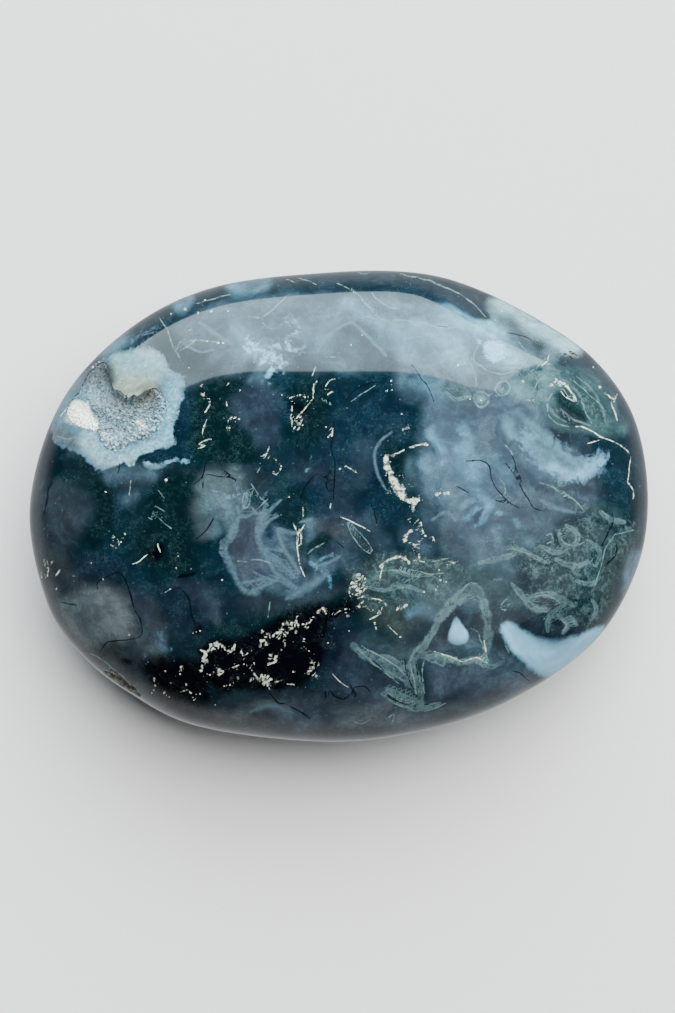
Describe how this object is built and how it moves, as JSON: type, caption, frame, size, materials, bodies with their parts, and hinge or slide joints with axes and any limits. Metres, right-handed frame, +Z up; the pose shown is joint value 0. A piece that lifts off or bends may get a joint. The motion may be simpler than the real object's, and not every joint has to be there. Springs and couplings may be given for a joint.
{
  "type": "moss agate palm stone",
  "caption": "Polished oval palm stone of moss agate, lens-shaped, with a small crystal-lined hollow in its crown and a resting flat beneath.",
  "frame": {"origin": "middle of the stone's footprint, on the plane of the small polished flat that it rests on", "axes": "+X along the stone's length, +Y across it towards the edge with the shoulder, +Z up through its thickness to the crown"},
  "size_m": [0.065, 0.0498, 0.0216],
  "materials": {
    "moss_agate": "polished",
    "druse_quartz": "sparkling natural crystal faces"
  },
  "bodies": {
    "root": {"stone": "moss_agate", "quartz_crust": "druse_quartz"}
  },
  "joints": []
}
